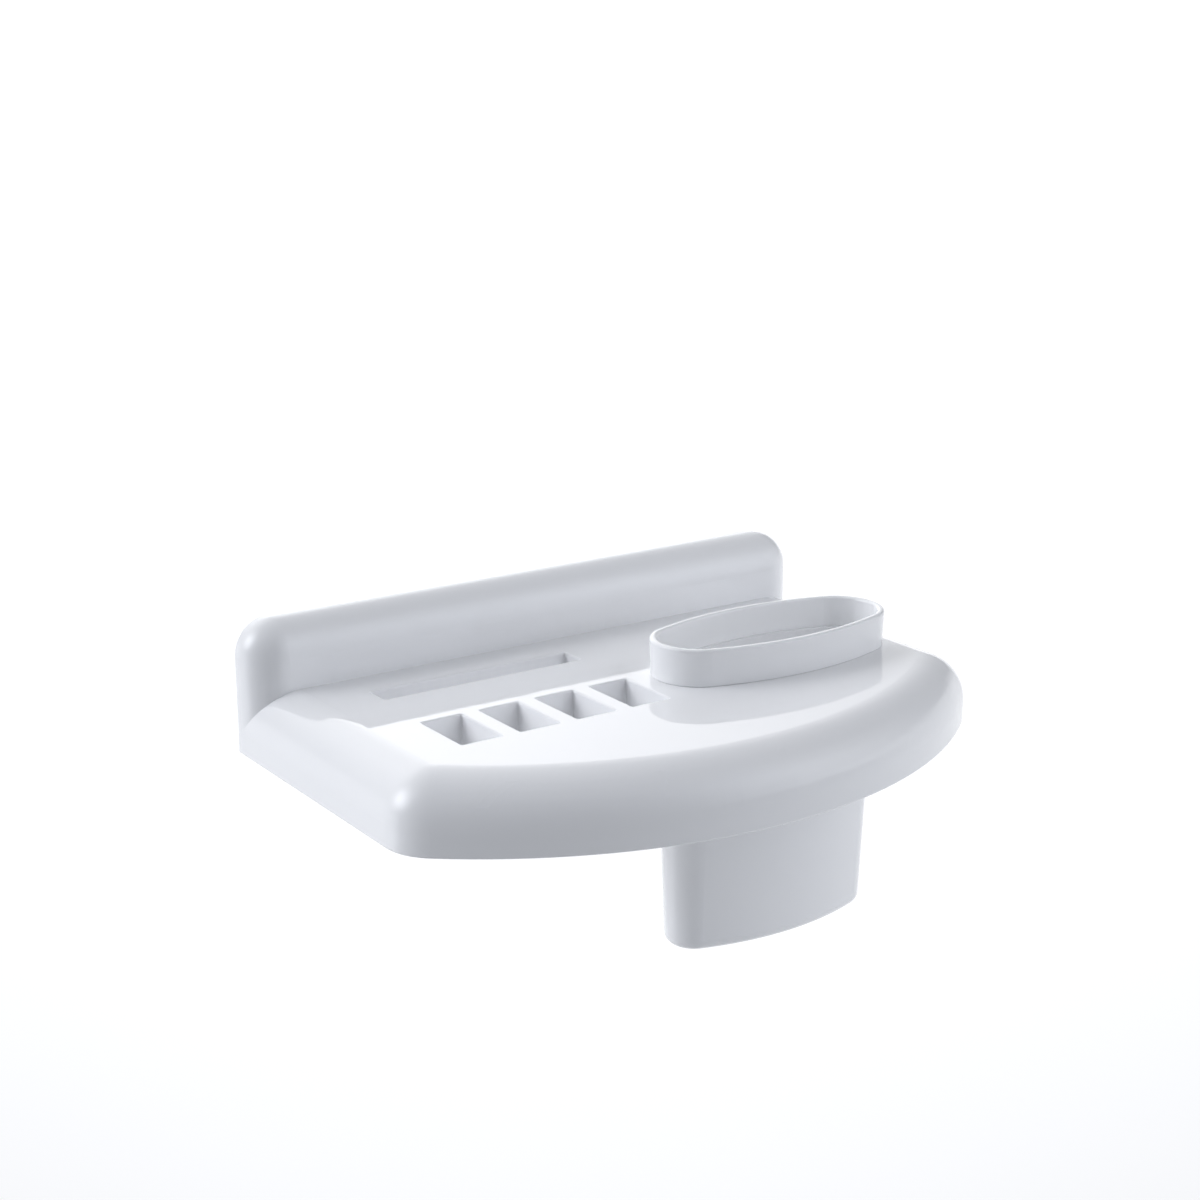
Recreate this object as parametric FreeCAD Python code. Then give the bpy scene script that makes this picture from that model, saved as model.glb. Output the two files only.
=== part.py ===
import FreeCAD, Part
import math
import os
from FreeCAD import Vector

# Wall-mounted toothbrush holder: a hollow moulded shelf with an upstand, brush holes and a slot,
# a tapered oval cup that hangs in the shelf by its collar, and a hidden hook bracket with its fixings.
# Lengths are in millimetres. X runs along the wall, +Y into the wall and Z up.
# The origin is on the face of the wall, midway between the two screws.

# Shelf: outline in plan, heights and edge radii
LEFT_MARGIN = 25.5          # left end of the shelf to the first brush hole
RIGHT_MARGIN = 11.9         # rim of the cup to the right end of the shelf
SIDE_DEPTH = 86.0           # wall to the point where side and bow would meet
BOW_RISE = 35.0             # how far the bowed front stands out past the sides
CORNER_RADIUS = 15.0
SHELF_HEIGHT = 18.9
RIM_RADIUS = 12.5
SKIRT_EDGE_RADIUS = 0.8
UPSTAND_RISE = 18.0
UPSTAND_DEPTH = 12.0
UPSTAND_RADIUS = 10.0
WALL = 2.5
SCREW_LINE = 13.4           # height of the screws above the skirt's lower edge
ROUND_LIMIT_SHARE = 0.92    # the largest share of a wall's depth that its rounding may take

# Brush holes and slot: open through the shelf, each with its own sleeve below
HOLE_COUNT = 4
HOLE_PITCH = 16.9
HOLE_WIDTH = 11.6
HOLE_LENGTH = 19.6          # front to back
HOLES_FROM_WALL = 52.9
SLOT_FROM_END = 26.7
SLOT_FROM_WALL = 24.2
SLOT_LENGTH = 60.7
SLOT_WIDTH = 7.6
MOUTH_CORNER_RADIUS = 0.5
MOUTH_EDGE_RADIUS = 0.6
SLEEVE_WALL = 1.6
SLEEVE_RISE = 1.5           # sleeves stop this far above the skirt's lower edge

# Ribs under the shelf top
RIB_THICKNESS = 1.6
RIB_DROP = 4.0

# Cup: the oval rim, the stepped collar and the tapered body
CUP_GAP = 5.5               # last brush hole to the cup's rim
CUP_FROM_WALL = 59.8        # wall to the middle of the cup
CUP_HALF_LENGTH = 37.4
CUP_HALF_WIDTH = 16.8
CUP_END_RADIUS = 12.8
COLLAR_HEIGHT = 10.3
COLLAR_STEP = 1.4
COLLAR_EDGE_RADIUS = 0.4
CUP_DROP = 77.8             # shelf top to the underside of the cup
CUP_TAPER_DEGREES = 2.2
CUP_WALL = 1.8
RIM_WALL = 2.0
RIM_EDGE_RADIUS = 0.8
FLOOR_THICKNESS = 2.4
FLOOR_RADIUS = 3.2
FOOT_WIDTH = 3.0            # ring that the cup stands on when it is taken out
FOOT_HEIGHT = 0.8
CUP_CLEARANCE = 0.4

# Wall bracket: a plate with a hook strip along its top
BRACKET_LENGTH = 120.0
BRACKET_PLATE = 4.0
BRACKET_DROP = 8.0          # screw line to the lower edge of the plate
HOOK_FLOOR = 3.5
LIP_THICKNESS = 2.4
LIP_HEIGHT = 5.0
LIP_ROOM = 4.5              # lip to the roof of the upstand's hollow
LIP_FRONT_ROOM = 1.6        # lip to the front of the upstand's hollow
HANGER_THICKNESS = 2.6      # strip inside the upstand that hangs behind the lip
HOOK_CLEARANCE = 0.3
BRACKET_CORNER_RADIUS = 3.0
GUSSET_COUNT = 5
GUSSET_THICKNESS = 2.0
GUSSET_END_GAP = 4.0
CHEEK_CLEARANCE = 0.8       # bracket's end to the cheek rib beside it

# Fixings
SCREW_SPACING = 60.0
SCREW_RADIUS = 2.0
SCREW_HOLE_CLEARANCE = 0.25
HEAD_RADIUS = 4.0
HEAD_HEIGHT = 2.4
HEAD_EDGE_RADIUS = 1.4
RECESS_SPAN = 4.4
RECESS_WIDTH = 0.9
RECESS_DEPTH = 1.3
TIP_LENGTH = 4.0
TIP_FLAT_RADIUS = 0.3
TIP_REACH = 3.0             # screw's tip past the end of the plug
PLUG_RADIUS = 3.0
PLUG_LENGTH = 30.0
PLUG_FIT = 0.05
PLUG_COLLAR_RADIUS = 4.2
PLUG_COLLAR_THICKNESS = 0.9
PLUG_SEAT_CLEARANCE = 0.3
PLUG_SLIT_WIDTH = 1.0
PLUG_NECK = 9.0             # unslit length behind the collar

OVERRUN = 5.0               # how far a cutting shape runs past what it cuts
BITE = 0.8                  # how far a rib or sleeve reaches into the wall that carries it
MATCH = 0.001               # how closely places agree when edges are picked

# Sizes worked out from the ones above
hole_row_length = (HOLE_COUNT - 1) * HOLE_PITCH + HOLE_WIDTH
width = LEFT_MARGIN + hole_row_length + CUP_GAP + 2 * CUP_HALF_LENGTH + RIGHT_MARGIN
left_end = -width / 2
front_depth = SIDE_DEPTH + BOW_RISE
bow_radius = ((width / 2) ** 2 + BOW_RISE ** 2) / (2 * BOW_RISE)
bow_centre_y = bow_radius - front_depth

skirt_bottom = -SCREW_LINE
shelf_top = skirt_bottom + SHELF_HEIGHT
upstand_top = shelf_top + UPSTAND_RISE
rim_radius = min(RIM_RADIUS, CORNER_RADIUS * ROUND_LIMIT_SHARE, SHELF_HEIGHT * ROUND_LIMIT_SHARE)
upstand_radius = min(UPSTAND_RADIUS, UPSTAND_DEPTH * ROUND_LIMIT_SHARE, UPSTAND_RISE * ROUND_LIMIT_SHARE)
ceiling = shelf_top - WALL
hollow_top = upstand_top - WALL
hollow_front = UPSTAND_DEPTH - WALL
sleeve_bottom = skirt_bottom + SLEEVE_RISE

first_hole_x = left_end + LEFT_MARGIN
holes_end_x = first_hole_x + hole_row_length
slot_x = left_end + SLOT_FROM_END
cup_x = holes_end_x + CUP_GAP + CUP_HALF_LENGTH
cup_y = -CUP_FROM_WALL
taper_share = math.tan(math.radians(CUP_TAPER_DEGREES))
cup_rim = shelf_top + COLLAR_HEIGHT
cup_bottom = shelf_top - CUP_DROP

lip_top = hollow_top - LIP_ROOM
hook_level = lip_top - LIP_HEIGHT
lip_front = hollow_front - LIP_FRONT_ROOM
lip_back = lip_front - LIP_THICKNESS
hanger_front = lip_back - HOOK_CLEARANCE


def box(x0, y0, z0, x1, y1, z1):
    """A block between two opposite corners."""
    return Part.makeBox(x1 - x0, y1 - y0, z1 - z0, Vector(x0, y0, z0))


def arc(start, middle, end):
    """An arc edge through three points."""
    return Part.Arc(start, middle, end).toShape()


def line(start, end):
    """A straight edge."""
    return Part.LineSegment(start, end).toShape()


def flat_edges(solid, z, keep=lambda middle: True):
    """The edges that lie at height z, where keep agrees with the middle of their box."""
    found = []
    for edge in solid.Edges:
        bounds = edge.BoundBox
        level = abs(bounds.ZMin - z) < MATCH and abs(bounds.ZMax - z) < MATCH
        if level and keep(bounds.Center):
            found.append(edge)
    return found


def shelf_plan(inset, back, z):
    """The shelf's plan: straight sides, rounded front corners and a bowed front, set in by inset."""
    side = width / 2 - inset
    corner_x = width / 2 - CORNER_RADIUS
    corner_y = bow_centre_y - math.sqrt((bow_radius - CORNER_RADIUS) ** 2 - corner_x ** 2)
    radius = CORNER_RADIUS - inset
    bow = bow_radius - inset
    turn = math.atan2(corner_y - bow_centre_y, corner_x)
    middle = Vector(corner_x + radius * math.cos(turn / 2), corner_y + radius * math.sin(turn / 2), z)
    meet = Vector(bow * math.cos(turn), bow_centre_y + bow * math.sin(turn), z)

    def mirrored(point):
        return Vector(-point.x, point.y, point.z)

    back_right = Vector(side, back, z)
    side_end = Vector(side, corner_y, z)
    front = Vector(0, bow_centre_y - bow, z)
    edges = [
        line(back_right, side_end),
        arc(side_end, middle, meet),
        arc(meet, front, mirrored(meet)),
        arc(mirrored(meet), mirrored(middle), mirrored(side_end)),
        line(mirrored(side_end), mirrored(back_right)),
        line(mirrored(back_right), back_right),
    ]
    return Part.Face(Part.Wire(edges))


def shelf_slab(inset, back, bottom, top, radius):
    """The shelf as a solid slab with its upper edge rounded, all but the edge along the wall."""
    slab = shelf_plan(inset, back, bottom).extrude(Vector(0, 0, top - bottom))
    return slab.makeFillet(radius, flat_edges(slab, top, lambda middle: middle.y < back - MATCH))


def upstand_block(inset, back, bottom, top, radius):
    """The upstand as a solid block with its front, top and end edges rounded."""
    end = width / 2 - inset
    front = -UPSTAND_DEPTH + inset
    block = box(-end, front, bottom, end, back, top)

    def rounded(edge):
        middle = edge.BoundBox.Center
        at_back = abs(middle.y - back) < MATCH
        at_bottom = abs(middle.z - bottom) < MATCH
        return not at_back and not at_bottom

    return block.makeFillet(radius, [edge for edge in block.Edges if rounded(edge)])


def rounded_slot(x0, y0, x1, y1, z0, z1, radius):
    """An upright prism with a rectangular plan and rounded corners."""
    prism = box(x0, y0, z0, x1, y1, z1)
    upright = [edge for edge in prism.Edges if edge.BoundBox.ZLength > (z1 - z0) / 2]
    return prism.makeFillet(radius, upright)


def mouths():
    """The plan rectangles of the brush holes and of the slot behind them."""
    found = []
    for place in range(HOLE_COUNT):
        x = first_hole_x + place * HOLE_PITCH
        found.append((x, -HOLES_FROM_WALL - HOLE_LENGTH, x + HOLE_WIDTH, -HOLES_FROM_WALL))
    found.append((slot_x, -SLOT_FROM_WALL - SLOT_WIDTH, slot_x + SLOT_LENGTH, -SLOT_FROM_WALL))
    return found


def cup_oval(inset, z):
    """The cup's oval at height z, set in by inset: two end arcs joined by two long side arcs."""
    end_centre = CUP_HALF_LENGTH - CUP_END_RADIUS
    side_radius = (end_centre ** 2 + CUP_HALF_WIDTH ** 2 - CUP_END_RADIUS ** 2)
    side_radius /= 2 * (CUP_HALF_WIDTH - CUP_END_RADIUS)
    turn = math.atan2(side_radius - CUP_HALF_WIDTH, end_centre)
    radius = CUP_END_RADIUS - inset
    meet_x = end_centre + radius * math.cos(turn)
    meet_y = radius * math.sin(turn)
    tip_x = CUP_HALF_LENGTH - inset
    flank_y = CUP_HALF_WIDTH - inset

    def at(x, y):
        return Vector(cup_x + x, cup_y + y, z)

    edges = [
        arc(at(meet_x, -meet_y), at(tip_x, 0), at(meet_x, meet_y)),
        arc(at(meet_x, meet_y), at(0, flank_y), at(-meet_x, meet_y)),
        arc(at(-meet_x, meet_y), at(-tip_x, 0), at(-meet_x, -meet_y)),
        arc(at(-meet_x, -meet_y), at(0, -flank_y), at(meet_x, -meet_y)),
    ]
    return Part.Wire(edges)


def oval_taper(low_inset, low_z, high_inset, high_z):
    """A solid with the cup's oval at both ends, tapered between them."""
    return Part.makeLoft([cup_oval(low_inset, low_z), cup_oval(high_inset, high_z)], True, True)


def body_inset(z):
    """How far the outside of the cup's body is set in from the rim at height z."""
    return COLLAR_STEP + taper_share * (cup_rim - z)


def shelf_body():
    """The shelf moulding: a shell open below and behind, with sleeves, ribs and the hanging strip."""
    outside = shelf_slab(0, 0, skirt_bottom, shelf_top, rim_radius)
    lower_edges = flat_edges(outside, skirt_bottom, lambda middle: middle.y < -MATCH)
    outside = outside.makeFillet(SKIRT_EDGE_RADIUS, lower_edges)
    upstand_base = shelf_top - rim_radius - WALL
    outside = outside.fuse(upstand_block(0, 0, upstand_base, upstand_top, upstand_radius))

    hollow = shelf_slab(WALL, OVERRUN, skirt_bottom - OVERRUN, ceiling, rim_radius - WALL)
    hollow = hollow.fuse(upstand_block(WALL, OVERRUN, skirt_bottom, hollow_top, upstand_radius - WALL))
    shell = outside.cut(hollow)

    shell = shell.fuse(sleeves() + [rib.common(outside) for rib in ribs()] + hanger_pieces())
    cuts = [rounded_slot(x0, y0, x1, y1, sleeve_bottom - OVERRUN, shelf_top + OVERRUN, MOUTH_CORNER_RADIUS)
            for x0, y0, x1, y1 in mouths()]
    seat = body_inset(shelf_top) - CUP_CLEARANCE
    cuts.append(oval_taper(seat, sleeve_bottom - OVERRUN, seat, shelf_top + OVERRUN))
    shell = shell.cut(cuts).removeSplitter()
    return shell.makeFillet(MOUTH_EDGE_RADIUS, mouth_edges(shell))


def mouth_edges(shell):
    """The upper edges of the brush holes and of the slot."""
    def in_mouth(middle):
        return any(x0 - MATCH < middle.x < x1 + MATCH and y0 - MATCH < middle.y < y1 + MATCH
                   for x0, y0, x1, y1 in mouths())
    return flat_edges(shell, shelf_top, in_mouth)


def sleeves():
    """The walls round each brush hole, the slot and the cup's opening, still without their bores."""
    top = ceiling + BITE
    found = []
    for x0, y0, x1, y1 in mouths():
        found.append(rounded_slot(x0 - SLEEVE_WALL, y0 - SLEEVE_WALL, x1 + SLEEVE_WALL, y1 + SLEEVE_WALL,
                                  sleeve_bottom, top, MOUTH_CORNER_RADIUS + SLEEVE_WALL))
    outer = body_inset(shelf_top) - CUP_CLEARANCE - SLEEVE_WALL
    found.append(oval_taper(outer, sleeve_bottom, outer, top))
    return found


def ribs():
    """Low ribs under the shelf top, along and across it."""
    low = ceiling - RIB_DROP
    top = ceiling + BITE
    half = RIB_THICKNESS / 2
    holes_front = HOLES_FROM_WALL + HOLE_LENGTH
    along = [
        (UPSTAND_DEPTH + SLOT_FROM_WALL) / 2,
        (SLOT_FROM_WALL + SLOT_WIDTH + HOLES_FROM_WALL) / 2,
        (holes_front + front_depth) / 2,
    ]
    across = [
        first_hole_x + hole_row_length / 2,
        holes_end_x + CUP_GAP / 2,
        cup_x,
    ]
    reach = width / 2 - WALL + BITE
    found = [box(-reach, -y - half, low, reach, -y + half, top) for y in along]
    found += [box(x - half, -front_depth, low, x + half, -hollow_front, top) for x in across]
    return found


def hanger_pieces():
    """The strip that hangs behind the bracket's lip, and a cheek rib past each end of the bracket."""
    half = BRACKET_LENGTH / 2
    strip = box(-half, -hanger_front, hook_level, half, -hanger_front + HANGER_THICKNESS, upstand_top)
    found = [strip]
    for side in (-1, 1):
        x = side * (half + CHEEK_CLEARANCE + RIB_THICKNESS / 2)
        found.append(box(x - RIB_THICKNESS / 2, -UPSTAND_DEPTH + BITE, ceiling,
                         x + RIB_THICKNESS / 2, 0, upstand_top))
    skin = upstand_block(WALL - BITE, 0, skirt_bottom, hollow_top + BITE, upstand_radius - WALL + BITE)
    return [piece.common(skin) for piece in found]


def cup():
    """The oval cup: collar and tapered body outside, a stepped hollow inside and a foot ring below."""
    collar_low = taper_share * COLLAR_HEIGHT
    collar = oval_taper(collar_low, shelf_top, 0, cup_rim)
    collar = collar.makeFillet(COLLAR_EDGE_RADIUS, flat_edges(collar, shelf_top))
    low_inset = body_inset(cup_bottom)
    body = oval_taper(low_inset, cup_bottom, body_inset(shelf_top), shelf_top)
    body = body.makeFillet(FLOOR_RADIUS, flat_edges(body, cup_bottom))
    ledge = shelf_top + CUP_WALL
    floor = cup_bottom + FLOOR_THICKNESS
    well = oval_taper(body_inset(floor) + CUP_WALL, floor, body_inset(ledge) + CUP_WALL, ledge)
    well = well.makeFillet(FLOOR_RADIUS - CUP_WALL, flat_edges(well, floor))
    mouth_inset = RIM_WALL + taper_share * (cup_rim - ledge)
    mouth = oval_taper(mouth_inset, ledge, RIM_WALL, cup_rim)
    foot_inset = low_inset + FLOOR_RADIUS + FOOT_WIDTH
    foot = oval_taper(foot_inset, cup_bottom, foot_inset + FOOT_HEIGHT, cup_bottom + FOOT_HEIGHT)
    solid = collar.fuse(body).cut([well, mouth, foot]).removeSplitter()
    return solid.makeFillet(RIM_EDGE_RADIUS, flat_edges(solid, cup_rim))


def screw_places():
    """The X positions of the two screws."""
    return {"left": -SCREW_SPACING / 2, "right": SCREW_SPACING / 2}


def along_wall(radius, y0, y1, x):
    """A cylinder square to the wall, on the screw line."""
    return Part.makeCylinder(radius, y1 - y0, Vector(x, y0, 0), Vector(0, 1, 0))


def wall_bracket():
    """The hook strip: a plate on the wall, a floor and lip along its top, and gussets under the floor."""
    half = BRACKET_LENGTH / 2
    plate = box(-half, -BRACKET_PLATE, -BRACKET_DROP, half, 0, hook_level)
    lower = [edge for edge in plate.Edges
             if edge.BoundBox.YLength > BRACKET_PLATE / 2 and edge.BoundBox.Center.z < 0]
    plate = plate.makeFillet(BRACKET_CORNER_RADIUS, lower)
    floor = box(-half, -lip_front, hook_level - HOOK_FLOOR, half, 0, hook_level)
    lip = box(-half, -lip_front, hook_level - HOOK_FLOOR, half, -lip_back, lip_top)
    pieces = [floor, lip]
    first = -half + GUSSET_END_GAP + GUSSET_THICKNESS / 2
    step = -2 * first / (GUSSET_COUNT - 1)
    for place in range(GUSSET_COUNT):
        pieces.append(gusset(first + place * step))
    solid = plate.fuse(pieces)
    cuts = []
    for x in screw_places().values():
        cuts.append(along_wall(SCREW_RADIUS + SCREW_HOLE_CLEARANCE, -BRACKET_PLATE - OVERRUN, OVERRUN, x))
        cuts.append(along_wall(PLUG_COLLAR_RADIUS + PLUG_SEAT_CLEARANCE,
                               -PLUG_COLLAR_THICKNESS - PLUG_SEAT_CLEARANCE, OVERRUN, x))
    return solid.cut(cuts).removeSplitter()


def gusset(x):
    """A triangular web between the plate and the hook's floor."""
    top = hook_level - HOOK_FLOOR
    reach = lip_front - BRACKET_PLATE
    corners = [(-BRACKET_PLATE, top), (-lip_front, top), (-BRACKET_PLATE, top - reach)]
    points = [Vector(x - GUSSET_THICKNESS / 2, y, z) for y, z in corners]
    face = Part.Face(Part.makePolygon(points + points[:1]))
    return face.extrude(Vector(GUSSET_THICKNESS, 0, 0))


def wall_screw(x):
    """A pan-head screw: head on the plate's front, shank through the plug and a pointed tip."""
    seat = -BRACKET_PLATE
    tip = PLUG_LENGTH + TIP_REACH
    head = along_wall(HEAD_RADIUS, seat - HEAD_HEIGHT, seat, x)
    crown = [edge for edge in head.Edges if edge.BoundBox.YMax < seat - HEAD_HEIGHT + MATCH]
    head = head.makeFillet(HEAD_EDGE_RADIUS, crown)
    shank = along_wall(SCREW_RADIUS, seat, tip - TIP_LENGTH, x)
    point = Part.makeCone(SCREW_RADIUS, TIP_FLAT_RADIUS, TIP_LENGTH,
                          Vector(x, tip - TIP_LENGTH, 0), Vector(0, 1, 0))
    face = seat - HEAD_HEIGHT
    arm = RECESS_SPAN / 2
    half = RECESS_WIDTH / 2
    cross = [
        box(x - arm, face - OVERRUN, -half, x + arm, face + RECESS_DEPTH, half),
        box(x - half, face - OVERRUN, -arm, x + half, face + RECESS_DEPTH, arm),
    ]
    return head.fuse([shank, point]).cut(cross).removeSplitter()


def wall_plug(x):
    """An expansion plug: a collar on the wall's face and a tube that is slit towards its far end."""
    tube = along_wall(PLUG_RADIUS, 0, PLUG_LENGTH, x)
    collar = along_wall(PLUG_COLLAR_RADIUS, -PLUG_COLLAR_THICKNESS, 0, x)
    bore = along_wall(SCREW_RADIUS + PLUG_FIT, -OVERRUN, PLUG_LENGTH + OVERRUN, x)
    half = PLUG_SLIT_WIDTH / 2
    slit = box(x - PLUG_COLLAR_RADIUS, PLUG_NECK, -half, x + PLUG_COLLAR_RADIUS, PLUG_LENGTH + OVERRUN, half)
    return tube.fuse(collar).cut([bore, slit]).removeSplitter()


nodes = {"shelf_body": shelf_body(), "cup": cup(), "wall_bracket": wall_bracket()}
for side, place in screw_places().items():
    nodes["wall_screw_" + side] = wall_screw(place)
    nodes["wall_plug_" + side] = wall_plug(place)

os.makedirs("parts", exist_ok=True)
for name, shape in nodes.items():
    shape.exportStep("parts/" + name + ".step")
    bounds = shape.BoundBox
    print(f"{name}: {len(shape.Solids)} solid, valid {shape.isValid()}, {shape.Volume:.0f} mm3,",
          f"X {bounds.XMin:.1f} to {bounds.XMax:.1f}, Y {bounds.YMin:.1f} to {bounds.YMax:.1f},",
          f"Z {bounds.ZMin:.1f} to {bounds.ZMax:.1f}")
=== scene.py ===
# %% [markdown]
# # A toothbrush holder for the bathroom wall
# The real thing is three mouldings and their fixings: a glossy shelf, a cup that hangs in it by its
# collar, a hook bracket behind the shelf, two screws and two nylon plugs. The frame brings all of them
# at their real size. This lesson gives each one its finish, adds the threads and barbs that the frame
# leaves out, and sets up the light and the camera.

# %% Load the frame
import math
import bmesh
import bpy
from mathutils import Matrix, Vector


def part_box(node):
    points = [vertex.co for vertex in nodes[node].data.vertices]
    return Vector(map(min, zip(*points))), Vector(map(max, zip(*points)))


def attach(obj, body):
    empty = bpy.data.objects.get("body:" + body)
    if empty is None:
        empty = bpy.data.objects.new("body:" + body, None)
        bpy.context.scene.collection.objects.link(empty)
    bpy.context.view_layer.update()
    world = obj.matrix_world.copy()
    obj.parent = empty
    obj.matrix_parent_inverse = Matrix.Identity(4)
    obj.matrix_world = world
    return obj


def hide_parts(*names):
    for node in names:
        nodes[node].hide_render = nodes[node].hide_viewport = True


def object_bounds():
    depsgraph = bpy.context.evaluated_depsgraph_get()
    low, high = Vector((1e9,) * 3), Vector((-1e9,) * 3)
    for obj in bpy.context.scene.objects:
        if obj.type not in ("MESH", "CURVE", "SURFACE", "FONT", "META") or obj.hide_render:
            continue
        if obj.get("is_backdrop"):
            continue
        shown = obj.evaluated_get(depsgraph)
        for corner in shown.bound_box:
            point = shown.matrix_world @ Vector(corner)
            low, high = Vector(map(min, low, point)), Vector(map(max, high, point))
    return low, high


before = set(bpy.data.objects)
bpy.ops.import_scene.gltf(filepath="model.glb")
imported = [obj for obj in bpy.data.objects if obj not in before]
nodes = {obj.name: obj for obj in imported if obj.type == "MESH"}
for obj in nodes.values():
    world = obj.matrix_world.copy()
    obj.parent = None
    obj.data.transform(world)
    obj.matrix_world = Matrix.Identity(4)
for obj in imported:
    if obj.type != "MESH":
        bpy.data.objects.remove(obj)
cad_low, cad_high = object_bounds()
MM = 0.001
print("pieces in the frame:", ", ".join(sorted(nodes)))
print("size in mm:", [round(side / MM, 1) for side in cad_high - cad_low])

# %% [markdown]
# ## Sums with sockets
# A finish is a small graph of nodes. Graphs that are wired by hand are long to read, so a socket is
# wrapped in a class that knows how to add, subtract, multiply and divide: `0.1 + 0.05 * smudge` then
# adds the two Math nodes by itself. Colours and directions need their own nodes, because a Math node
# would turn a colour into grey. Every node, of either kind, is made by one method.


# %% A socket that takes part in sums
class Value:
    """A shader socket in a Python sum: each operator adds one Math node."""

    def __init__(self, finish, socket):
        self.finish = finish
        self.socket = socket

    def __add__(self, other):
        return self.finish.maths("ADD", self, other)

    def __sub__(self, other):
        return self.finish.maths("SUBTRACT", self, other)

    def __rsub__(self, other):
        return self.finish.maths("SUBTRACT", other, self)

    def __mul__(self, other):
        return self.finish.maths("MULTIPLY", self, other)

    def __truediv__(self, other):
        return self.finish.maths("DIVIDE", self, other)

    def __lt__(self, other):
        return self.finish.maths("LESS_THAN", self, other)

    __radd__ = __add__
    __rmul__ = __mul__


# %% A finish and the one method that adds its nodes
class Finish:
    """A node tree with short ways to add nodes, textures and mixes to it."""

    # A Mix node has sockets for each kind of value. These are the ones for colours.
    MIX_SHARE, MIX_FIRST, MIX_SECOND, MIX_RESULT = 0, 6, 7, 2

    def __init__(self, tree):
        self.tree = tree
        tree.nodes.clear()

    def node(self, kind, settings, inputs):
        """Adds a node, makes its settings first and then fills or links its sockets."""
        made = self.tree.nodes.new(kind)
        for name, value in settings.items():
            setattr(made, name, value)
        for name, value in inputs.items():
            if isinstance(value, Value):
                self.tree.links.new(value.socket, made.inputs[name])
            else:
                made.inputs[name].default_value = value
        return made

    def read(self, made, output=0):
        return Value(self, made.outputs[output])

    def maths(self, operation, first, second):
        return self.read(self.node("ShaderNodeMath", {"operation": operation}, {0: first, 1: second}))

    def vectors(self, operation, inputs, output=0):
        """A sum with places, directions or colours, which have three numbers each."""
        return self.read(self.node("ShaderNodeVectorMath", {"operation": operation}, inputs), output)

    def place(self, stretch=(1, 1, 1)):
        """Where a point lies on the piece, in metres, stretched along the piece's own axes."""
        inside = self.read(self.node("ShaderNodeTexCoord", {}, {}), "Object")
        return self.read(self.node("ShaderNodeMapping", {}, {"Vector": inside, "Scale": stretch}))

    def noise(self, per_metre, detail, stretch=(1, 1, 1)):
        """Soft random values about one half, with that many swells to the metre."""
        sockets = {"Vector": self.place(stretch), "Scale": per_metre, "Detail": detail}
        return self.read(self.node("ShaderNodeTexNoise", {}, sockets))

    def band(self, value, low, high):
        """Rises smoothly from 0 at low to 1 at high."""
        settings = {"interpolation_type": "SMOOTHSTEP"}
        sockets = {"Value": value, "From Min": low, "From Max": high}
        return self.read(self.node("ShaderNodeMapRange", settings, sockets))

    def blend(self, share, first, second):
        """A colour between two colours."""
        sockets = {self.MIX_SHARE: share, self.MIX_FIRST: (*first, 1), self.MIX_SECOND: (*second, 1)}
        return self.read(self.node("ShaderNodeMix", {"data_type": "RGBA"}, sockets), self.MIX_RESULT)

    def relief(self, height, depth):
        """The surface's normal, tilted as if height stood that many metres proud."""
        sockets = {"Strength": 1.0, "Distance": depth, "Height": height}
        return self.read(self.node("ShaderNodeBump", {}, sockets))

    def surface(self, **sockets):
        """The Principled shader, with words joined by _ for its sockets' names."""
        named = {name.replace("_", " "): value for name, value in sockets.items()}
        shader = self.node("ShaderNodeBsdfPrincipled", {}, named)
        self.node("ShaderNodeOutputMaterial", {}, {"Surface": self.read(shader)})


def new_finish(name):
    """A new material and the finish that fills it."""
    material = bpy.data.materials.new(name)
    material.use_nodes = True
    return material, Finish(material.node_tree)


def wear(piece, material):
    """Gives a piece its material."""
    piece.data.materials.clear()
    piece.data.materials.append(material)


# %% [markdown]
# ## The camera
# The picture to match was taken a little above the shelf and from its left. Fitting the holes, the
# slot and the cup's rim to it gave the camera's place in the part's own frame, so it is only copied
# here. The lens is given for a square picture, and there is no shift.

# %% Place the camera
CAMERA_PLACE = (-0.3105, -0.4900, 0.1800)
CAMERA_DOWN_DEGREES = 15.945
CAMERA_RIGHT_DEGREES = 34.461
LENS_MM = 63.57
lens = bpy.data.cameras.new("camera")
lens.lens = LENS_MM
camera = bpy.data.objects.new("camera", lens)
camera.location = CAMERA_PLACE
camera.rotation_euler = (math.radians(90 - CAMERA_DOWN_DEGREES), 0, -math.radians(CAMERA_RIGHT_DEGREES))
bpy.context.scene.collection.objects.link(camera)
bpy.context.scene.camera = camera
print("camera at", CAMERA_PLACE)

# %% [markdown]
# ## Glossy white plastic
# The shelf is moulded in a polished tool, so its outside mirrors the cup and the upstand. A polished
# moulding is never quite even: it has a faint orange peel, thin smears where it was wiped, and hairline
# scratches that only show in the gloss. Its inside comes off the tool's unpolished half and is duller.
# A face belongs to the inside when it looks towards the middle of the shelf, which is one dot product.
#
# Gloss also shows how a curve is cut into facets. Where a rib ends in the shelf's rounding, the mesh has
# slivers, and each of them would tilt the shading beside it. So the large faces decide the shading.

# %% The shelf's finish
SMOOTH, EVEN, CLOUDY = 1.0, 2.0, 3.0        # how much detail a noise has
CLOUD_BAND = (0.3, 0.7)                     # noise values that take a cloud from one colour to the other
PLASTIC_IOR = 1.5
PEEL_DEPTH = 0.008 * MM
WHITE = (0.93, 0.933, 0.946)
WHITE_SHADED = (0.915, 0.919, 0.934)
SHELF_MIDDLE = (0, -5 * MM, -2 * MM)

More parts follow.
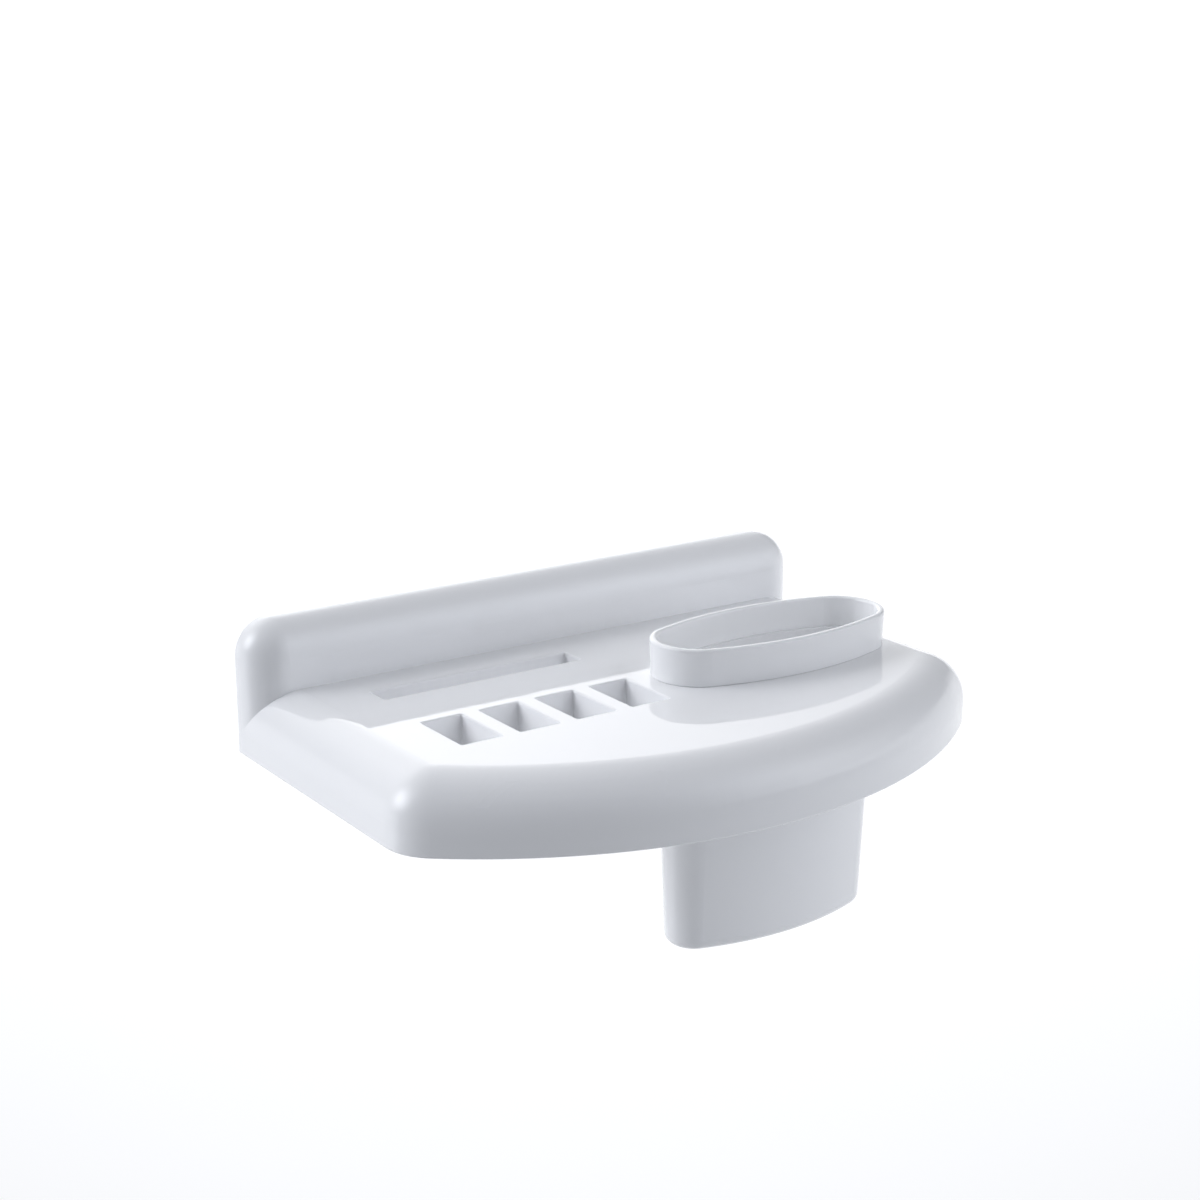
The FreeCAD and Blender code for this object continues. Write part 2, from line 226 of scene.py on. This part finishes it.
# Swells to the metre, and how far they are drawn out
SHELF_CLOUDS = 14
SHELF_SMEARS = 45
SHELF_PEEL = 260
SHELF_GRAIN = 2600
HAIRLINES = 30
SMEAR_STRETCH = (1, 2.5, 1)
HAIRLINE_STRETCHES = ((1, 9, 1), (7, 1, 1))
HAIRLINE_MIDDLE = 0.5                       # the noise value that a hairline follows
HAIRLINE_HALF_WIDTH = 0.005

# Roughness of the clean gloss, and what each fault adds to it
SHELF_ROUGHNESS = 0.02
SMEAR_ROUGHNESS = 0.025
HAIRLINE_ROUGHNESS = 0.03
INSIDE_ROUGHNESS = 0.30


def scratches(finish, stretch):
    """Thin hairlines: the narrow ridge of a noise that is drawn out along one axis."""
    drawn = finish.noise(HAIRLINES, SMOOTH, stretch)
    rise = finish.band(drawn, HAIRLINE_MIDDLE - HAIRLINE_HALF_WIDTH, HAIRLINE_MIDDLE)
    return rise - finish.band(drawn, HAIRLINE_MIDDLE, HAIRLINE_MIDDLE + HAIRLINE_HALF_WIDTH)


def looks_inwards(finish, middle):
    """1 where a face looks towards the middle point, and 0 where it looks away from it."""
    normal = finish.read(finish.node("ShaderNodeNewGeometry", {}, {}), "Normal")
    away = finish.vectors("SUBTRACT", {0: finish.place(), 1: middle})
    return finish.vectors("DOT_PRODUCT", {0: normal, 1: away}, "Value") < 0


def shelf_gloss():
    material, finish = new_finish("shelf_gloss_plastic")
    inside = looks_inwards(finish, SHELF_MIDDLE)
    clouds = finish.noise(SHELF_CLOUDS, CLOUDY)
    smears = finish.noise(SHELF_SMEARS, CLOUDY, SMEAR_STRETCH)
    along, across = HAIRLINE_STRETCHES
    hairlines = scratches(finish, along) + scratches(finish, across)
    peel = finish.noise(SHELF_PEEL, SMOOTH)
    grain = finish.noise(SHELF_GRAIN, EVEN)
    gloss = SHELF_ROUGHNESS + SMEAR_ROUGHNESS * smears + HAIRLINE_ROUGHNESS * hairlines
    height = peel * (1 - inside) + grain * inside
    finish.surface(
        Base_Color=finish.blend(finish.band(clouds, *CLOUD_BAND), WHITE_SHADED, WHITE),
        Roughness=gloss + inside * INSIDE_ROUGHNESS,
        IOR=PLASTIC_IOR,
        Normal=finish.relief(height, PEEL_DEPTH),
    )
    return material


def even_shading(piece):
    """Lets the large faces decide how a curve is shaded, so that slivers beside them don't show."""
    modifier = piece.modifiers.new("even shading", "WEIGHTED_NORMAL")
    modifier.mode = "FACE_AREA"
    modifier.keep_sharp = True


wear(nodes["shelf_body"], shelf_gloss())
even_shading(nodes["shelf_body"])
print("shelf_body wears", nodes["shelf_body"].data.materials[0].name)

# %% The cup's finish
CUP_WHITE = (0.925, 0.929, 0.94)
CUP_WHITE_SHADED = (0.91, 0.914, 0.928)
CUP_CLOUDS = 18
CUP_RINGS = 60
CUP_SMEARS = 55
CUP_PEEL = 300
RING_STRETCH = (0.1, 0.1, 12)               # drawn out around the cup, and close together along it
RING_HEIGHT_SHARE = 0.6                     # of the peel's height
CUP_ROUGHNESS = 0.13
CUP_SMEAR_ROUGHNESS = 0.06
CUP_RING_ROUGHNESS = 0.05


def cup_gloss():
    material, finish = new_finish("cup_gloss_plastic")
    clouds = finish.noise(CUP_CLOUDS, CLOUDY)
    rings = finish.noise(CUP_RINGS, EVEN, RING_STRETCH)
    smears = finish.noise(CUP_SMEARS, CLOUDY)
    peel = finish.noise(CUP_PEEL, SMOOTH)
    finish.surface(
        Base_Color=finish.blend(finish.band(clouds, *CLOUD_BAND), CUP_WHITE_SHADED, CUP_WHITE),
        Roughness=CUP_ROUGHNESS + CUP_SMEAR_ROUGHNESS * smears + CUP_RING_ROUGHNESS * rings,
        IOR=PLASTIC_IOR,
        Normal=finish.relief(peel + RING_HEIGHT_SHARE * rings, PEEL_DEPTH),
    )
    return material


wear(nodes["cup"], cup_gloss())
print("cup wears", nodes["cup"].data.materials[0].name)

# %% [markdown]
# ## Plain plastic, zinc and nylon
# What is behind the shelf needs no polish. The bracket has the fine grain of an unpolished tool. The
# screws are zinc plated, so their grey is a little blue in places and warm in others. The plugs are
# grey nylon, which is waxy and slightly cloudy.

# %% The finishes behind the shelf
BRACKET_GREY = (0.60, 0.61, 0.62)
BRACKET_GREY_SHADED = (0.55, 0.56, 0.58)
BRACKET_CLOUDS = 30
BRACKET_GRAIN = 2200
BRACKET_GRAIN_DEPTH = 0.02 * MM
BRACKET_ROUGHNESS = 0.42
BRACKET_CLOUD_ROUGHNESS = 0.14

ZINC_COOL = (0.60, 0.64, 0.68)
ZINC_WARM = (0.68, 0.66, 0.62)
ZINC_TINT = 160
ZINC_BAND = (0.35, 0.65)
ZINC_SPANGLE = 900
ZINC_ROUGHNESS = 0.20
SPANGLE_ROUGHNESS = 0.22

NYLON_GREY = (0.36, 0.38, 0.40)
NYLON_GREY_PALE = (0.43, 0.45, 0.47)
NYLON_CLOUDS = 220
NYLON_GRAIN = 1400
NYLON_GRAIN_DEPTH = 0.015 * MM
NYLON_ROUGHNESS = 0.38
NYLON_CLOUD_ROUGHNESS = 0.16


def bracket_plastic():
    material, finish = new_finish("bracket_plain_plastic")
    clouds = finish.noise(BRACKET_CLOUDS, CLOUDY)
    grain = finish.noise(BRACKET_GRAIN, EVEN)
    finish.surface(
        Base_Color=finish.blend(finish.band(clouds, *CLOUD_BAND), BRACKET_GREY_SHADED, BRACKET_GREY),
        Roughness=BRACKET_ROUGHNESS + BRACKET_CLOUD_ROUGHNESS * clouds,
        Normal=finish.relief(grain, BRACKET_GRAIN_DEPTH),
    )
    return material


def screw_steel():
    material, finish = new_finish("screw_zinc_steel")
    tint = finish.noise(ZINC_TINT, CLOUDY)
    spangle = finish.noise(ZINC_SPANGLE, EVEN)
    finish.surface(
        Base_Color=finish.blend(finish.band(tint, *ZINC_BAND), ZINC_COOL, ZINC_WARM),
        Metallic=1.0,
        Roughness=ZINC_ROUGHNESS + SPANGLE_ROUGHNESS * spangle,
    )
    return material


def plug_nylon():
    material, finish = new_finish("plug_grey_nylon")
    clouds = finish.noise(NYLON_CLOUDS, CLOUDY)
    grain = finish.noise(NYLON_GRAIN, EVEN)
    finish.surface(
        Base_Color=finish.blend(finish.band(clouds, *CLOUD_BAND), NYLON_GREY, NYLON_GREY_PALE),
        Roughness=NYLON_ROUGHNESS + NYLON_CLOUD_ROUGHNESS * clouds,
        Normal=finish.relief(grain, NYLON_GRAIN_DEPTH),
    )
    return material


wear(nodes["wall_bracket"], bracket_plastic())
steel, nylon = screw_steel(), plug_nylon()
print("finishes:", ", ".join(material.name for material in bpy.data.materials))

# %% [markdown]
# ## Threads and barbs
# The frame's screws have plain shanks and its plugs have smooth walls. Both are turned parts, so a short
# profile of distance along the axis and radius makes each of them anew. The thread is a ridge that climbs
# around the core and fades at both ends. The barbs rise towards the collar, so that the plug goes in
# easily and holds when it is pulled. Recess and slit are cut afterwards.

# %% Turn, join and cut
SEGMENTS = 48
SHARP_DEGREES = 35                          # a bend sharper than this stays an edge
CUT_OVERRUN = 1                             # how far a cutter runs past what it cuts, in mm


def ring_about_axis(shape, along, radius):
    """A ring of vertices about the Y axis, in mm."""
    ring = []
    for step in range(SEGMENTS):
        turn = 2 * math.pi * step / SEGMENTS
        place = Vector((radius * math.cos(turn), along, radius * math.sin(turn)))
        ring.append(shape.verts.new(place * MM))
    return ring


def join_rings(shape, first, second):
    """A belt of faces between two rings."""
    for step in range(SEGMENTS):
        after = (step + 1) % SEGMENTS
        shape.faces.new((first[step], second[step], second[after], first[after]))


def turned(shape, profile):
    """Turns a profile of (along, radius) points; a closed one gives a tube, an open one gets caps."""
    closed = profile[0] == profile[-1]
    rings = [ring_about_axis(shape, *point) for point in (profile[:-1] if closed else profile)]
    for first, second in zip(rings, rings[1:]):
        join_rings(shape, first, second)
    if closed:
        join_rings(shape, rings[-1], rings[0])
    else:
        shape.faces.new(rings[0])
        shape.faces.new(reversed(rings[-1]))


def block(shape, low, high):
    """A box between two corners in mm."""
    low, high = Vector(low), Vector(high)
    made = bmesh.ops.create_cube(shape, size=1.0)["verts"]
    for vertex in made:
        share = vertex.co + Vector((0.5, 0.5, 0.5))
        vertex.co = Vector(a + (b - a) * s for a, b, s in zip(low, high, share)) * MM


def piece_from(shape, name, place):
    """Turns a finished bmesh into an object in the scene."""
    bmesh.ops.recalc_face_normals(shape, faces=shape.faces)
    mesh = bpy.data.meshes.new(name)
    shape.to_mesh(mesh)
    shape.free()
    piece = bpy.data.objects.new(name, mesh)
    piece.location = place
    bpy.context.scene.collection.objects.link(piece)
    return piece


def cut_away(piece, low, high):
    """Cuts a box, given in mm about the piece's own origin, out of the piece."""
    shape = bmesh.new()
    block(shape, low, high)
    cutter = piece_from(shape, "cutter", piece.location)
    modifier = piece.modifiers.new("cut", "BOOLEAN")
    modifier.operation = "DIFFERENCE"
    modifier.object = cutter
    bpy.context.view_layer.update()
    cut = bpy.data.meshes.new_from_object(piece.evaluated_get(bpy.context.evaluated_depsgraph_get()))
    piece.modifiers.clear()
    piece.data = cut
    bpy.data.objects.remove(cutter)


def smooth(piece):
    """Shades a piece smoothly, apart from its sharp edges."""
    for face in piece.data.polygons:
        face.use_smooth = True
    piece.data.set_sharp_from_angle(angle=math.radians(SHARP_DEGREES))


def fixed_to_wall(piece, material, node):
    """Dresses a fixing and lets it stand for the frame's plain one."""
    wear(piece, material)
    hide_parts(node)
    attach(piece, "bracket")


print("lathe with", SEGMENTS, "segments")

# %% Cut the screws
# Lengths are in mm, and places along the screw are measured from the face of the wall.
HEAD_HEIGHT = 2.4
HEAD_RADIUS = 4.0
HEAD_ROUND = 1.4
CROWN_STEPS = 8
SHANK_RADIUS = 2.0
CORE_SHARE = 0.72                           # of the thread's radius
TIP_LENGTH = 4.0
TIP_RADIUS = 0.3
TIP_GAP = 0.02                              # the core ends this far short of the tip
THREAD_PITCH = 1.8
THREAD_START = 5.0
THREAD_STEPS = 36                           # to a turn
NECK_CONE = 1                               # where the neck narrows to the core, before the thread
RIDGE_HALF_SHARE = 0.24                     # of the pitch, from the ridge's crest to its root
ROOT_SHARE = 0.97                           # of the core's radius, so that the root is under its surface
FADE_TURNS = 1.5                            # the ridge fades over these turns at the tip
RECESS_ARM = 2.2
RECESS_HALF = 0.45
RECESS_DEPTH = 1.3


def shank_radius(along, tip):
    """The thread's outside: the shank, and the cone at its tip."""
    share = min(1.0, max(0.0, (tip - along) / TIP_LENGTH))
    return TIP_RADIUS + (SHANK_RADIUS - TIP_RADIUS) * share


def wind_thread(shape, start, tip):
    """A ridge with a root, a crest and a root, wound about the core."""
    turns = (tip - start) / THREAD_PITCH
    before = None
    for step in range(int(turns * THREAD_STEPS)):
        turn = step / THREAD_STEPS
        along = start + turn * THREAD_PITCH
        crest = shank_radius(along, tip)
        rise = min(1.0, turn, (turns - turn) / FADE_TURNS)
        core = crest * CORE_SHARE
        root = core * ROOT_SHARE
        peak = core + (crest - core) * rise
        angle = 2 * math.pi * turn
        row = []
        for shift, radius in ((-RIDGE_HALF_SHARE, root), (0, peak), (RIDGE_HALF_SHARE, root)):
            aside = along + shift * THREAD_PITCH * rise
            place = Vector((radius * math.cos(angle), aside, radius * math.sin(angle)))
            row.append(shape.verts.new(place * MM))
        if before:
            shape.faces.new((before[0], before[1], row[1], row[0]))
            shape.faces.new((before[1], before[2], row[2], row[1]))
        before = row


def screw(name, x, face, tip):
    """A pan-head screw from its face to its tip, both in mm along Y."""
    seat = face + HEAD_HEIGHT
    crown = []
    for step in range(CROWN_STEPS + 1):
        angle = math.pi / 2 * step / CROWN_STEPS
        crown.append((face + HEAD_ROUND * (1 - math.sin(angle)),
                      HEAD_RADIUS - HEAD_ROUND + HEAD_ROUND * math.cos(angle)))
    neck = [(seat, SHANK_RADIUS), (THREAD_START - NECK_CONE, SHANK_RADIUS),
            (THREAD_START, SHANK_RADIUS * CORE_SHARE)]
    core = [(along, shank_radius(along, tip) * CORE_SHARE) for along in (tip - TIP_LENGTH, tip - TIP_GAP)]
    shape = bmesh.new()
    turned(shape, crown[::-1] + [(seat, HEAD_RADIUS)] + neck + core)
    made = piece_from(shape, name, (x, 0, 0))
    for across, up in ((RECESS_ARM, RECESS_HALF), (RECESS_HALF, RECESS_ARM)):
        cut_away(made, (-across, face - CUT_OVERRUN, -up), (across, face + RECESS_DEPTH, up))
    whole = bmesh.new()
    whole.from_mesh(made.data)
    wind_thread(whole, THREAD_START, tip)
    whole.to_mesh(made.data)
    whole.free()
    return made


for side in ("left", "right"):
    node = "wall_screw_" + side
    low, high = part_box(node)
    made = screw("threaded_screw_" + side, (low.x + high.x) / 2, low.y / MM, high.y / MM)
    smooth(made)
    fixed_to_wall(made, steel, node)
    print(made.name, len(made.data.polygons), "faces")

# %% Cut the plugs
# Again in mm, from the face of the wall.
BORE_RADIUS = 2.05
PLUG_RADIUS = 3.0
PLUG_NECK = 4.0
COLLAR_EDGE = 0.2
BARB_ROOT_RADIUS = 2.55
BARB_PITCH = 2.6
BARB_COUNT = 9
FIRST_BARB_GAP = 0.4                        # from the neck to the foot of the first barb
BARB_CREST = (0.3, 0.7)                     # where a barb's crest starts and ends, from its foot
SLIT_START = 9.0
SLIT_HALF = 0.5


def plug(name, x, face, end, collar):
    """A nylon plug from the collar's face to its far end, in mm along Y."""
    outside = [(face, BORE_RADIUS), (face, collar - COLLAR_EDGE), (face + COLLAR_EDGE, collar), (0, collar)]
    outside += [(0, PLUG_RADIUS), (PLUG_NECK, PLUG_RADIUS)]
    for barb in range(BARB_COUNT):
        foot = PLUG_NECK + FIRST_BARB_GAP + barb * BARB_PITCH
        outside.append((foot, BARB_ROOT_RADIUS))
        outside += [(foot + crest, PLUG_RADIUS) for crest in BARB_CREST]
    outside += [(end, BARB_ROOT_RADIUS), (end, BORE_RADIUS), (face, BORE_RADIUS)]
    shape = bmesh.new()
    turned(shape, outside)
    made = piece_from(shape, name, (x, 0, 0))
    cut_away(made, (-collar, SLIT_START, -SLIT_HALF), (collar, end + CUT_OVERRUN, SLIT_HALF))
    return made


for side in ("left", "right"):
    node = "wall_plug_" + side
    low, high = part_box(node)
    collar = (high.x - low.x) / MM / 2
    made = plug("barbed_plug_" + side, (low.x + high.x) / 2, low.y / MM, high.y / MM, collar)
    smooth(made)
    fixed_to_wall(made, nylon, node)
    print(made.name, len(made.data.polygons), "faces")

# %% [markdown]
# ## Floor and light
# The picture has a white surround with no shadow, as over a lit table. The floor is such a table: pale,
# far below the cup and giving light of its own, more of it behind the object than in front. Its light is
# a little cooler in front, and a soft patch of it at the left brightens the upstand's end.
#
# Gloss mirrors the lights themselves, and a lamp with an edge would show that edge, so the lights are
# soft patches of the surround. The shelf's top mirrors the one behind, the left side faces the brightest
# one, and the bowed front, which looks at the darkest part of the room, stays the darkest face.

# %% Lay the floor
# Lengths are in metres. A soft light has four numbers: degrees around from the front over the right,
# degrees up, degrees to half brightness, and brightness.
FLOOR_DROP = 0.36
FLOOR_RADIUS = 12.0
FLOOR_SEGMENTS = 96
FLOOR_GREY = (0.2, 0.2, 0.2, 1)
FLOOR_ROUGHNESS = 0.9
FLOOR_LIGHT = (242, 0, 12, 1.1)
FLOOR_LIGHT_REACH = (0.2, 0.9)              # where the patch starts and where it is full
PALE = (0.972, 0.98, 1.0)
COOL = (0.892, 0.928, 1.0)
SHADE_BAND = (-0.6, 0.6)                    # from cool in front to pale behind
GLOW_MIDDLE = 0.56
GLOW_SWING = 0.48
GLOW_REACH = 0.3
BACKDROP = (math.sin(math.radians(CAMERA_RIGHT_DEGREES)), math.cos(math.radians(CAMERA_RIGHT_DEGREES)), 0)


def direction_of(around, up):
    """The direction that lies that many degrees around from the front over the right, and up."""
    turn, level = math.radians(around), math.cos(math.radians(up))
    return Vector((math.sin(turn) * level, -math.cos(turn) * level, math.sin(math.radians(up))))


def soft_light(finish, direction, around, up, spread, glow):
    """A patch of light in the surround with no edge: it fades away from its middle like a bell curve."""
    aim = finish.vectors("DOT_PRODUCT", {0: direction, 1: direction_of(around, up)}, "Value")
    narrow = math.log(2) / (1 - math.cos(math.radians(spread)))
    return glow * finish.maths("EXPONENT", narrow * (aim - 1), 0)


def towards_backdrop(finish, direction):
    """How far a direction or place goes towards the backdrop."""
    return finish.vectors("DOT_PRODUCT", {0: direction, 1: BACKDROP}, "Value")


def shade_of(finish, towards):
    """The colour of the light: cool in front of the object, where the room is dark, and pale behind it."""
    return finish.blend(finish.band(towards, *SHADE_BAND), COOL, PALE)


def lay_floor():
    shape = bmesh.new()
    bmesh.ops.create_circle(shape, cap_ends=True, segments=FLOOR_SEGMENTS, radius=FLOOR_RADIUS)
    floor = piece_from(shape, "floor", (0, 0, cad_low.z - FLOOR_DROP))
    material, finish = new_finish("floor_pale")
    place = finish.place()
    reach = finish.vectors("LENGTH", {0: place}, "Value")
    side = towards_backdrop(finish, place) / (reach + GLOW_REACH)
    outwards = finish.vectors("NORMALIZE", {0: place})
    patch = finish.band(reach, *FLOOR_LIGHT_REACH) * soft_light(finish, outwards, *FLOOR_LIGHT)
    glow = GLOW_MIDDLE + GLOW_SWING * side + patch
    finish.surface(
        Base_Color=FLOOR_GREY,
        Roughness=FLOOR_ROUGHNESS,
        Specular_IOR_Level=0.0,
        Emission_Color=finish.vectors("SCALE", {0: shade_of(finish, side), "Scale": glow}),
        Emission_Strength=1.0,
    )
    wear(floor, material)
    floor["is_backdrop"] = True
    return floor


print("floor", round(lay_floor().location.z, 3), "m from the screws")

# %% Light the surround
SURROUND_HIGH = 0.02                        # brightness overhead, apart from the soft lights
HORIZON_BAND = (0.03, 0.2)                  # the rise over which the horizon's glow ends
SOFT_LIGHTS = (
    ("left", 240, 26, 14, 7.0),
    ("high left", 240, 44, 14, 1.2),
    ("right", 42, 25, 24, 2.58),
    ("behind", 157, 12, 18, 2.6),
    ("high behind", 187, 37, 20, 1.65),
)


def light_surround():
    world = bpy.data.worlds.new("surround")
    world.use_nodes = True
    finish = Finish(world.node_tree)
    direction = finish.read(finish.node("ShaderNodeTexCoord", {}, {}), "Generated")
    rise = finish.read(finish.node("ShaderNodeSeparateXYZ", {}, {0: direction}), "Z")
    towards = towards_backdrop(finish, direction)
    horizon = GLOW_MIDDLE + GLOW_SWING * towards
    glow = horizon + (SURROUND_HIGH - horizon) * finish.band(rise, *HORIZON_BAND)
    for name, *light in SOFT_LIGHTS:
        glow = glow + soft_light(finish, direction, *light)
    shader = finish.node("ShaderNodeBackground", {}, {"Color": shade_of(finish, towards), "Strength": glow})
    finish.node("ShaderNodeOutputWorld", {}, {"Surface": finish.read(shader)})
    bpy.context.scene.world = world


light_surround()
bpy.context.scene.view_settings.view_transform = "Standard"
print("soft lights:", ", ".join(name for name, *light in SOFT_LIGHTS))

# %% Hang a lamp overhead
AIM = Vector((0, -50 * MM, -10 * MM))
LAMP_AROUND = 180
LAMP_UP = 62
LAMP_AWAY = 1.6
LAMP_SIDE = 1.2
LAMP_GLOW = 0.1
lamp = bpy.data.lights.new("overhead", "AREA")
lamp.size = LAMP_SIDE
lamp.energy = LAMP_GLOW * math.pi * LAMP_SIDE ** 2
overhead = bpy.data.objects.new("overhead", lamp)
overhead.location = AIM + LAMP_AWAY * direction_of(LAMP_AROUND, LAMP_UP)
overhead.rotation_euler = (AIM - overhead.location).to_track_quat("-Z", "Y").to_euler()
bpy.context.scene.collection.objects.link(overhead)
print("lamp", round(overhead.location.z, 2), "m above the screws")

# %% Find the bounds of the pieces
low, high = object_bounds()
